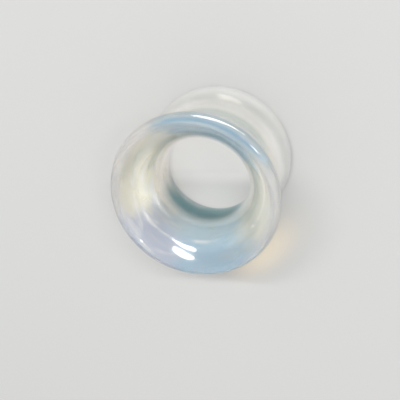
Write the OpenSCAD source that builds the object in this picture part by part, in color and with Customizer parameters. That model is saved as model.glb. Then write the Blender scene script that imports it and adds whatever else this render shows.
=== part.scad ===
// Double-flared ear tunnel in opal glass: one solid of revolution with a round hole through it.
// It lies on one flare. The hole runs along Z, and the lower lip touches Z = 0.

/* [Fit in the lobe] */
// Diameter of the waist, where the lobe sits
waist_d = 12.7; // [11:0.1:13.5]
// Diameter over the flares
flare_d = 15; // [14.4:0.1:16.5]
// Length over both lips
tunnel_len = 11.4; // [10:0.1:13]

/* [Flares] */
// Radius of the round edge of each flare
lip_r = 0.6; // [0.45:0.05:0.9]

/* [Hole] */
// Diameter of the straight middle of the hole
hole_d = 8.6; // [6:0.1:9.2]
// Length of the straight middle of the hole
hole_len = 1.2; // [0.6:0.1:3]

/* [Hidden] */

// Segments in a full turn
$fn = 180;

// Radii of the three round sizes
waist_r = waist_d / 2;
flare_r = flare_d / 2;
hole_r = hole_d / 2;

// Centre of a flare's round edge in the section, where X is the radius and Y runs along the hole
lip_at = [flare_r - lip_r, tunnel_len / 2 - lip_r];

// The mouth is one arc. It leaves the straight hole without a step and runs smoothly into the lip
straight_end = hole_len / 2;
mouth_rise = lip_at.x - hole_r;
mouth_run = lip_at.y - straight_end;
mouth_r = (mouth_rise ^ 2 + mouth_run ^ 2 - lip_r ^ 2) / (2 * (mouth_rise - lip_r));
mouth_at = [hole_r + mouth_r, straight_end];
mouth_meets_lip = lip_at + (lip_at - mouth_at) * lip_r / (mouth_r - lip_r);

// The saddle is one hollow arc round the waist, from the lip of one flare to the other's
saddle_fall = lip_at.x - waist_r;
saddle_r = (saddle_fall ^ 2 + lip_at.y ^ 2 - lip_r ^ 2) / (2 * (lip_r + saddle_fall));
saddle_at = [waist_r + saddle_r, 0];
saddle_meets_lip = lip_at + (saddle_at - lip_at) * lip_r / (saddle_r + lip_r);

// Half of the wall's section, from the middle of the tunnel to one lip
module half_wall() {
    translate(lip_at) circle(r = lip_r);
    difference() {
        polygon([
            [hole_r, 0],
            [flare_r, 0],
            [flare_r, saddle_meets_lip.y],
            saddle_meets_lip,
            lip_at,
            mouth_meets_lip,
            [hole_r, mouth_meets_lip.y]
        ]);
        translate(saddle_at) circle(r = saddle_r);
        difference() {
            translate([hole_r, straight_end]) square(mouth_meets_lip - [hole_r, straight_end]);
            translate(mouth_at) circle(r = mouth_r);
        }
    }
}

module tunnel() {
    color("#cfe0e6")
    translate([0, 0, tunnel_len / 2])
    rotate_extrude()
    for (end = [0, 1]) mirror([0, end]) half_wall();
}

tunnel();
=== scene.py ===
import math
import bmesh
import bpy
from mathutils import Matrix, Vector


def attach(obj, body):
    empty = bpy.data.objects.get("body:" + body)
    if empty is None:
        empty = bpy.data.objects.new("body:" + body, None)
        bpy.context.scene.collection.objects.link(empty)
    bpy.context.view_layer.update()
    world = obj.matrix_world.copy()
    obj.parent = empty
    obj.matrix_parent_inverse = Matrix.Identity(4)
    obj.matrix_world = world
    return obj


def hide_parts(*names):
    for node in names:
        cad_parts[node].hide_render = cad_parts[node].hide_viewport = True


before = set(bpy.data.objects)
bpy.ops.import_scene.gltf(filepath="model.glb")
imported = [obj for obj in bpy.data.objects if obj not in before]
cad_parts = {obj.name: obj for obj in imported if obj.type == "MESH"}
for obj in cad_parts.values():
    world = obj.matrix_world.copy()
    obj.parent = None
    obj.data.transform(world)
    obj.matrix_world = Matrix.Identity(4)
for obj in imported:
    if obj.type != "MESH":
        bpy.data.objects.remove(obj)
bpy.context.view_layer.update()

# The ear tunnel: one ring of milky opal glass with a flare at each end, turned on a rod and fire polished.
# Its wall is one section swept round the hole: straight bore, mouth arc, round lip and saddle arc, with the same
# mirrored below. It lies on the lower flare.
tree = bpy.data.node_groups.new("turned_wall", "GeometryNodeTree")
sizes = {
    "Flare radius": 0.0075,
    "Waist radius": 0.00635,
    "Half length": 0.0057,
    "Lip radius": 0.0006,
    "Hole radius": 0.0043,
    "Straight half": 0.0006,
}
counts = {"Steps round": 224, "Steps in an arc": 34}
weld_distance = 0.000002
tree.interface.new_socket("Geometry", in_out="OUTPUT", socket_type="NodeSocketGeometry")
for name, value in sizes.items():
    tree.interface.new_socket(name, in_out="INPUT", socket_type="NodeSocketFloat").default_value = value
for name, value in counts.items():
    tree.interface.new_socket(name, in_out="INPUT", socket_type="NodeSocketInt").default_value = value
given = tree.nodes.new("NodeGroupInput")


def wire(value, socket):
    """Feeds a socket with another node's outlet, or sets it to a number, a colour or a vector."""
    if isinstance(value, bpy.types.NodeSocket):
        socket.id_data.links.new(value, socket)
    else:
        socket.default_value = value


def worked_out(in_tree, kind, how, *values):
    """The outlets of a calculating node, Math or Vector Math, fed with those values."""
    node = in_tree.nodes.new(kind)
    node.operation = how
    for value, socket in zip(values, node.inputs):
        wire(value, socket)
    return node.outputs


def reckon(how, *values):
    return worked_out(tree, "ShaderNodeMath", how, *values)[0]


def point(x, y):
    node = tree.nodes.new("ShaderNodeCombineXYZ")
    wire(x, node.inputs["X"])
    wire(y, node.inputs["Y"])
    return node.outputs[0]


def shifted(shape, by):
    node = tree.nodes.new("GeometryNodeTransform")
    wire(shape, node.inputs["Geometry"])
    wire(by, node.inputs["Translation"])
    return node.outputs[0]


def arc(x, y, radius, start, end):
    node = tree.nodes.new("GeometryNodeCurveArc")
    node.mode = "RADIUS"
    wire(given.outputs["Steps in an arc"], node.inputs["Resolution"])
    wire(radius, node.inputs["Radius"])
    wire(start, node.inputs["Start Angle"])
    wire(reckon("SUBTRACT", end, start), node.inputs["Sweep Angle"])
    return shifted(node.outputs["Curve"], point(x, y))


def next_step(kind, shape):
    """A node that works on the whole shape, with the shape fed in."""
    node = tree.nodes.new(kind)
    wire(shape, node.inputs["Geometry"])
    return node


# In the section, X is the distance from the hole's axis and Y runs along the hole, from the tunnel's middle.
# Each arc meets its neighbours without a kink.
flare, waist, half, lip, hole, straight = (given.outputs[name] for name in sizes)
lip_x = reckon("SUBTRACT", flare, lip)
lip_y = reckon("SUBTRACT", half, lip)
lip_2 = reckon("MULTIPLY", lip, lip)

rise = reckon("SUBTRACT", lip_x, hole)
run = reckon("SUBTRACT", lip_y, straight)
mouth = reckon(
    "DIVIDE",
    reckon("SUBTRACT", reckon("ADD", reckon("MULTIPLY", rise, rise), reckon("MULTIPLY", run, run)), lip_2),
    reckon("MULTIPLY", reckon("SUBTRACT", rise, lip), 2.0),
)
mouth_x = reckon("ADD", hole, mouth)
mouth_end = reckon("ARCTAN2", run, reckon("SUBTRACT", rise, mouth))

fall = reckon("SUBTRACT", lip_x, waist)
saddle = reckon(
    "DIVIDE",
    reckon("SUBTRACT", reckon("ADD", reckon("MULTIPLY", fall, fall), reckon("MULTIPLY", lip_y, lip_y)), lip_2),
    reckon("MULTIPLY", reckon("ADD", fall, lip), 2.0),
)
saddle_x = reckon("ADD", waist, saddle)
saddle_start = reckon("ARCTAN2", lip_y, reckon("SUBTRACT", fall, saddle))

bore = tree.nodes.new("GeometryNodeCurvePrimitiveLine")
wire(point(hole, 0.0), bore.inputs["Start"])
wire(point(hole, straight), bore.inputs["End"])
section = tree.nodes.new("GeometryNodeJoinGeometry")
for stretch in (
    bore.outputs[0],
    arc(mouth_x, straight, mouth, mouth_end, math.pi),
    arc(lip_x, lip_y, lip, reckon("SUBTRACT", saddle_start, math.pi), mouth_end),
    arc(saddle_x, 0.0, saddle, saddle_start, math.pi),
):
    wire(stretch, section.inputs[0])

guide = tree.nodes.new("GeometryNodeCurvePrimitiveCircle")
wire(given.outputs["Steps round"], guide.inputs["Resolution"])
wire(waist, guide.inputs["Radius"])
turned = tree.nodes.new("GeometryNodeCurveToMesh")
wire(guide.outputs[0], turned.inputs["Curve"])
wire(shifted(section.outputs[0], point(reckon("MULTIPLY", waist, -1.0), 0.0)), turned.inputs["Profile Curve"])

other_half = next_step("GeometryNodeTransform", turned.outputs[0])
other_half.inputs["Scale"].default_value = (1.0, 1.0, -1.0)
both = tree.nodes.new("GeometryNodeJoinGeometry")
wire(turned.outputs[0], both.inputs[0])
wire(other_half.outputs[0], both.inputs[0])
lift = tree.nodes.new("ShaderNodeCombineXYZ")
wire(half, lift.inputs["Z"])
welded = next_step("GeometryNodeMergeByDistance", shifted(both.outputs[0], lift.outputs[0]))
welded.inputs["Distance"].default_value = weld_distance

# The glass is clear at heart, with a fine milk in it that scatters blue and lets cream through. The milk is uneven
# and drawn out round the hole in swirls, and thickest at the mouth's sides and the lower lip. A flame has polished
# the glass all over, with a slight waviness, but for the lower side of the bore, which is matt. The base colour
# holds painted light and shade: blue and cream glows, shade bands, dark teal in the bore and an amber glow.
plain_clear, milky_clear = 0.9, 0.66
fine_milk_density = 90.0
wave_depth = 0.0001
glass = bpy.data.materials.new("opal_glass")
glass.use_nodes = True
nodes = glass.node_tree.nodes
skin = nodes["Principled BSDF"]
for socket, value in {
    "IOR": 1.5,
    "Roughness": 0.18,
    "Coat Weight": 1.0,
    "Coat Roughness": 0.0,
    "Transmission Weight": plain_clear,
}.items():
    skin.inputs[socket].default_value = value


def maths(how, *values):
    return worked_out(glass.node_tree, "ShaderNodeMath", how, *values)[0]


def times(*amounts):
    product = amounts[0]
    for amount in amounts[1:]:
        product = maths("MULTIPLY", product, amount)
    return product


def fade(value, start, end, low=0.0, high=1.0, eased=True):
    """Goes from low, where the value is start, to high, where it is end."""
    node = value.id_data.nodes.new("ShaderNodeMapRange")
    node.interpolation_type = "SMOOTHSTEP" if eased else "LINEAR"
    for put, name in zip((value, start, end, low, high), ("Value", "From Min", "From Max", "To Min", "To Max")):
        wire(put, node.inputs[name])
    return node.outputs[0]


def clouds(place, squeeze, detail, distortion):
    """Noise from 0 to 1, its pattern squeezed along each axis."""
    squeezed = nodes.new("ShaderNodeMapping")
    wire(place, squeezed.inputs["Vector"])
    wire(squeeze, squeezed.inputs["Scale"])
    node = nodes.new("ShaderNodeTexNoise")
    put = {"Vector": squeezed.outputs[0], "Scale": 1.0, "Detail": detail, "Distortion": distortion}
    for name, value in put.items():
        wire(value, node.inputs[name])
    return node.outputs["Fac"]


def split(vector):
    node = vector.id_data.nodes.new("ShaderNodeSeparateXYZ")
    wire(vector, node.inputs[0])
    return node.outputs


place = nodes.new("ShaderNodeTexCoord").outputs["Object"]
height = split(place)["Z"]
across = worked_out(glass.node_tree, "ShaderNodeVectorMath", "MULTIPLY", place, (1.0, 1.0, 0.0))["Vector"]
outward = worked_out(glass.node_tree, "ShaderNodeVectorMath", "NORMALIZE", across)["Vector"]
reach = worked_out(glass.node_tree, "ShaderNodeVectorMath", "LENGTH", across)["Value"]

# The bore's painted tints and its matt patch end nearer to the axis the higher up the wall they are.
slant = 0.25
slanted_reach = maths("MULTIPLY_ADD", height, slant, maths("SUBTRACT", reach, slant * sizes["Half length"]))

# The milk is in patches, and in swirls that follow the section and run far round the hole.
patchy = fade(clouds(place, (260.0, 260.0, 130.0), 3.0, 1.5), 0.15, 0.55)
side = split(outward)
round_the_hole = nodes.new("ShaderNodeCombineXYZ")
wire(side["X"], round_the_hole.inputs["X"])
wire(side["Y"], round_the_hole.inputs["Y"])
wire(maths("ADD", height, reach), round_the_hole.inputs["Z"])
swirls = clouds(round_the_hole.outputs[0], (1.4, 1.4, 900.0), 2.5, 0.9)
pale_swirl_and_painted_glint = fade(swirls, 0.52, 0.68)
dark_swirl = fade(swirls, 0.46, 0.34)
feather_width = 0.44
feather = maths("MULTIPLY_ADD", swirls, feather_width, -feather_width / 2.0)


def facing(x, y, start, end):
    """1 where the wall lies on that side of the hole, with an edge that the swirls draw out."""
    node = worked_out(glass.node_tree, "ShaderNodeVectorMath", "DOT_PRODUCT", outward, (x, y, 0.0))
    return fade(maths("ADD", node["Value"], feather), start, end)


def between(value, start, full, still_full, end):
    """0 up to start, 1 from full to still_full, and 0 again from end."""
    return times(fade(value, start, full), fade(value, end, still_full))


# Where each tint lies: the side of the hole that it is on, then heights above the table and distances
# from the hole's axis in metres. Only the cream patches are partly the milk's own tone; the rest are painted light
# and shade.
# Cream patches on the upper half: partly the milk's own patchy tone, partly painted light shining through it.
patchy_cream_and_painted_light = times(fade(height, 0.003, 0.006), patchy)
# Painted light: cream where light shines through the upper left and the right of the mouth.
painted_light_upper_left = times(facing(-0.85, 0.5, 0.55, 0.95), fade(height, 0.006, 0.008))
painted_light_right = times(facing(0.97, 0.2, 0.70, 0.97), fade(height, 0.0055, 0.0075))
# Painted shade: a greyer band round the upper lip.
painted_shade_side_lip = times(fade(reach, 0.0062, 0.0069), fade(height, 0.0090, 0.0104))
low_flare = fade(height, 0.0040, 0.0015)
# Painted shade on the far side of the lower saddle.
painted_shade_low_saddle = times(facing(0.35, 0.94, 0.70, 0.95), between(height, 0.0014, 0.0026, 0.0036, 0.0046))
# Painted shade: a grey-green band on the far side of the waist, just behind the upper lip.
painted_shade_waist = times(facing(0.35, 0.94, 0.6, 0.9), fade(height, 0.0042, 0.0058), fade(reach, 0.0056, 0.0060))
# Painted light: blue of light scattered in the milk, on the far side of the mouth.
painted_blue_light_far = times(facing(0.53, 0.85, 0.86, 0.97), fade(height, 0.0065, 0.0085))
# Painted light and shade on the far lip: a blue band, a dark blue streak on its crest and a paler sheen band outside
# it.
painted_blue_far_rim = times(facing(0.276, 0.961, 0.76, 0.90), fade(height, 0.0098, 0.0106))
painted_shade_far_crest = times(painted_blue_far_rim, between(reach, 0.0068, 0.0070, 0.0071, 0.0073))
painted_sheen_far_outside = times(painted_blue_far_rim, fade(reach, 0.0071, 0.0074))
# Painted light: blue of light scattered in the milk, on the near side of the mouth.
painted_blue_light_near = times(facing(0.08, -1.0, 0.58, 0.96), fade(height, 0.0054, 0.0082))
# Painted light: lavender of scattered light at the near left of the mouth.
painted_lavender_light = times(facing(-0.69, -0.72, 0.82, 0.98), fade(height, 0.006, 0.009))
# Painted light: an amber glow on the lips' outer edge at the near right.
painted_amber_glow_edge = times(facing(0.45, -0.89, 0.88, 1.0), fade(reach, 0.00735, 0.0075))
# Painted light: a pinkish cream blush on the left of the bore.
painted_cream_light_bore = times(facing(-0.98, 0.2, 0.45, 0.9), fade(slanted_reach, 0.0053, 0.0047))
# Painted shade in the bore: a pale teal band, a dark teal crescent on its near side and a dark line at its lower
# left.
painted_shade_below_teal = times(facing(0.0, -1.0, 0.55, 0.95), fade(slanted_reach, 0.0060, 0.0054), 0.7)
painted_shade_bore_teal = times(facing(-0.12, -0.99, 0.1, 0.75), fade(slanted_reach, 0.0048, 0.0042))
painted_shade_bore_line = times(facing(-0.77, -0.64, 0.74, 0.95), fade(height, 0.0046, 0.0036), fade(reach, 0.0056, 0.0052))
# Painted shade: darker outlines where the glass is seen edge on.
edge_on = nodes.new("ShaderNodeLayerWeight")
edge_on.inputs["Blend"].default_value = 0.5
painted_edge_shade_upper = times(fade(edge_on.outputs["Facing"], 0.86, 1.0), fade(height, 0.003, 0.006))
painted_edge_shade_lower = times(fade(edge_on.outputs["Facing"], 0.95, 1.0), fade(height, 0.006, 0.003))

tint = (0.985, 0.995, 0.99, 1.0)
for colour, amount in (
    ((1.0, 0.955, 0.81), patchy_cream_and_painted_light),
    ((1.0, 0.96, 0.80), painted_light_upper_left),
    ((1.0, 0.96, 0.82), painted_light_right),
    ((0.87, 0.84, 0.82), painted_shade_side_lip),
    ((0.985, 0.98, 0.96), low_flare),
    ((0.79, 0.79, 0.77), painted_shade_low_saddle),
    ((0.48, 0.58, 0.57), painted_shade_waist),
    ((0.64, 0.81, 0.92), painted_blue_light_far),
    ((0.44, 0.62, 0.75), painted_blue_far_rim),
    ((0.22, 0.44, 0.64), painted_shade_far_crest),
    ((0.56, 0.67, 0.70), painted_sheen_far_outside),
    # Swirl lines of the milk, coloured into the painted blue light and the painted rim.
    ((0.32, 0.54, 0.70), times(dark_swirl, painted_blue_light_far, 0.6)),
    ((0.80, 0.90, 0.95), times(pale_swirl_and_painted_glint, painted_blue_far_rim, 0.4)),
    ((0.51, 0.72, 0.88), painted_blue_light_near),
    ((0.66, 0.71, 0.85), painted_lavender_light),
    # Painted reflections: white streaks along the swirls at the lower left.
    ((1.0, 1.0, 1.0), times(pale_swirl_and_painted_glint, facing(-0.8, -0.6, 0.2, 0.8), 0.9)),
    ((0.62, 0.72, 0.80), times(dark_swirl, painted_blue_light_near, 0.5)),
    ((1.0, 0.90, 0.80), painted_cream_light_bore),
    ((1.0, 0.84, 0.55), painted_amber_glow_edge),
    ((0.66, 0.79, 0.86), painted_shade_below_teal),
    ((0.07, 0.22, 0.25), painted_shade_bore_teal),
    ((0.22, 0.34, 0.38), painted_shade_bore_line),
    ((0.66, 0.65, 0.63), painted_edge_shade_upper),
    ((0.80, 0.79, 0.77), painted_edge_shade_lower),
):
    layer = nodes.new("ShaderNodeMix")
    layer.data_type = "RGBA"
    wire(amount, layer.inputs["Factor"])
    wire(tint, layer.inputs["A"])
    wire((*colour, 1.0), layer.inputs["B"])
    tint = layer.outputs["Result"]
wire(tint, skin.inputs["Base Color"])

milk_left = times(facing(-0.97, 0.25, 0.70, 0.98), fade(reach, 0.0062, 0.0050), fade(height, 0.0030, 0.0060))
milk_right = times(facing(0.96, 0.28, 0.60, 0.95), fade(height, 0.0065, 0.0080), fade(reach, 0.0068, 0.0062), 0.4)
milk_near = times(facing(0.25, -0.97, 0.5, 0.9), fade(height, 0.0060, 0.0074), fade(reach, 0.0060, 0.0052), 0.3)
milk_low = times(fade(height, 0.0036, 0.0010), fade(reach, 0.0058, 0.0068), 0.46)
milk = milk_left
for more in (milk_right, milk_near, milk_low):
    milk = maths("MAXIMUM", milk, more)
wire(fade(milk, 0.0, 1.0, plain_clear, milky_clear, eased=False), skin.inputs["Transmission Weight"])

matt_bore = times(facing(-0.5, -0.86, 0.1, 0.6), fade(slanted_reach, 0.0046, 0.0043))
wire(maths("SUBTRACT", 1.0, matt_bore), skin.inputs["Coat Weight"])

wave = nodes.new("ShaderNodeBump")
wave.inputs["Strength"].default_value = 0.4
wave.inputs["Distance"].default_value = wave_depth
ripple = clouds(place, (420.0, 420.0, 420.0), 1.0, 0.0)
wire(maths("ADD", ripple, times(swirls, 0.35)), wave.inputs["Height"])
wire(wave.outputs[0], skin.inputs["Normal"])

fine_milk = nodes.new("ShaderNodeVolumeScatter")
fine_milk.inputs["Color"].default_value = (0.50, 0.68, 1.0, 1.0)
fine_milk.inputs["Density"].default_value = fine_milk_density
wire(fine_milk.outputs[0], nodes["Material Output"].inputs["Volume"])

smooth = next_step("GeometryNodeSetShadeSmooth", welded.outputs[0])
real = next_step("GeometryNodeRealizeInstances", smooth.outputs[0])
glazed = next_step("GeometryNodeSetMaterial", real.outputs[0])
glazed.inputs["Material"].default_value = glass
wire(glazed.outputs[0], tree.nodes.new("NodeGroupOutput").inputs[0])

blank = bpy.data.objects.new("blank", bpy.data.meshes.new("blank"))
bpy.context.scene.collection.objects.link(blank)
turning = blank.modifiers.new("turned_wall", "NODES")
turning.node_group = tree
for item in tree.interface.items_tree:
    if item.in_out == "INPUT":
        turning[item.identifier] = {**sizes, **counts}[item.name]
wall = bpy.data.meshes.new_from_object(blank.evaluated_get(bpy.context.evaluated_depsgraph_get()))
bpy.data.objects.remove(blank)
shell = bmesh.new()
shell.from_mesh(wall)
bmesh.ops.recalc_face_normals(shell, faces=shell.faces)
shell.to_mesh(wall)
shell.free()
wall.name = "opal_tunnel"
tunnel = bpy.data.objects.new("opal_tunnel", wall)
bpy.context.scene.collection.objects.link(tunnel)
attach(tunnel, "root")
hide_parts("tunnel")

# A sheet of matt white acrylic that the tunnel lies on. It is lit a little from beneath, like a copy stand's light
# table, and most of all under the hole, on its far side.
sheet_side = 3.0
bpy.ops.mesh.primitive_plane_add(size=sheet_side)
sheet = bpy.context.object
sheet.name = "table"
acrylic = bpy.data.materials.new("white_acrylic")
acrylic.use_nodes = True
matt = acrylic.node_tree.nodes["Principled BSDF"]
matt.inputs["Base Color"].default_value = (0.27, 0.27, 0.267, 1.0)
matt.inputs["Roughness"].default_value = 0.8
matt.inputs["Specular IOR Level"].default_value = 0.2
matt.inputs["Emission Color"].default_value = (1.0, 0.995, 0.98, 1.0)
on_sheet = acrylic.node_tree.nodes.new("ShaderNodeTexCoord").outputs["Object"]
hole_middle = (-0.0003, -0.0009, 0.0)
from_middle = worked_out(acrylic.node_tree, "ShaderNodeVectorMath", "DISTANCE", on_sheet, hole_middle)["Value"]
under_hole = fade(from_middle, 0.0066, 0.0047)
hole_strength = fade(split(on_sheet)["Y"], -0.0036, -0.0012, 0.16, 0.45)
sheet_strength = 0.05
strength = worked_out(
    acrylic.node_tree, "ShaderNodeMath", "MULTIPLY_ADD", under_hole, hole_strength, sheet_strength
)[0]
wire(strength, matt.inputs["Emission Strength"])
sheet.data.materials.append(acrylic)

# Soft studio light: a white surround that is brighter overhead. The two strips and the small lamp are there for their
# reflections on the lips and in the mouth, and the long narrow window for the thin soft shadow. The warm lamp stands
# for the amber light that opal glass throws on a table.
horizon_strength, zenith_strength = 0.75, 1.32
world = bpy.data.worlds.new("studio")
bpy.context.scene.world = world
world.use_nodes = True
surround = world.node_tree.nodes["Background"]
surround.inputs["Color"].default_value = (1.0, 0.997, 0.985, 1.0)
upward = split(world.node_tree.nodes.new("ShaderNodeTexCoord").outputs["Generated"])["Z"]
wire(fade(upward, 0.0, 1.0, horizon_strength, zenith_strength), surround.inputs["Strength"])

mid_tunnel = Vector((0.0, 0.0, 0.006))
# Azimuth, height and turn are in degrees, distance and sizes in metres. The last column has the rays that miss it.
for name, azimuth, elevation, distance, width, depth, turn, radiance, missed_by in (
    ("long_strip", 74.0, 7.5, 0.27, 0.280, 0.058, 16.0, 14.0, ("diffuse", "transmission")),
    ("upper_strip", 85.0, 26.0, 0.28, 0.155, 0.062, 12.0, 12.0, ("diffuse",)),
    ("small_lamp", 26.0, 55.0, 0.30, 0.040, 0.034, 20.0, 30.0, ()),
    ("window", 82.0, 53.5, 0.60, 0.640, 0.030, 8.0, 132.0, ("glossy", "transmission")),
):
    lamp = bpy.data.lights.new(name, "AREA")
    lamp.shape = "ELLIPSE"
    lamp.size, lamp.size_y = width, depth
    lamp.energy = radiance * math.pi * (math.pi / 4.0 * width * depth)
    stand = bpy.data.objects.new(name, lamp)
    bpy.context.scene.collection.objects.link(stand)
    azimuth, elevation, turn = math.radians(azimuth), math.radians(elevation), math.radians(turn)
    level = math.cos(elevation)
    out = Vector((level * math.cos(azimuth), level * math.sin(azimuth), math.sin(elevation)))
    stand.location = mid_tunnel + out * distance
    stand.rotation_euler = (out.to_track_quat("Z", "Y").to_matrix() @ Matrix.Rotation(turn, 3, "Z")).to_euler()
    for ray in ("camera", *missed_by):
        setattr(stand, "visible_" + ray, False)

warm_lamp = bpy.data.lights.new("warm_pool", "SPOT")
warm_lamp.color = (1.0, 0.70, 0.28)
warm_lamp.energy = 0.9
warm_lamp.shadow_soft_size = 0.0012
warm_lamp.spot_size = math.radians(3.0)
warm_lamp.spot_blend = 1.0
warm_pool = bpy.data.objects.new("warm_pool", warm_lamp)
bpy.context.scene.collection.objects.link(warm_pool)
pool_middle = Vector((0.0046, -0.0110, 0.0))
warm_pool.location = (-0.0590, -0.0825, 0.0550)
warm_pool.rotation_euler = (warm_pool.location - pool_middle).to_track_quat("Z", "Y").to_euler()

# The camera looks down into the upper flare, turned so that the strips' side of the tunnel is at the top.
lens = bpy.data.cameras.new("camera")
lens.lens = 41.86
lens.sensor_width = 36.0
lens.clip_start = 0.001
camera = bpy.data.objects.new("camera", lens)
bpy.context.scene.collection.objects.link(camera)
camera.location = (0.01051, 0.01605, 0.04541)
gaze = Vector((-0.2508, -0.4093, -0.8772)).normalized()
right = Vector((0.9670, -0.0635, -0.2469)).normalized()
top = right.cross(gaze)
camera.rotation_euler = Matrix((right, top, -gaze)).transposed().to_euler()
bpy.context.scene.camera = camera

# Light passes many walls of the glass, so it may bend and scatter more often than usual. The colours stay plain.
scene = bpy.context.scene
scene.view_settings.view_transform = "Standard"
scene.cycles.max_bounces = 64
scene.cycles.transmission_bounces = 64
scene.cycles.glossy_bounces = 32
scene.cycles.diffuse_bounces = 8
scene.cycles.volume_bounces = 64
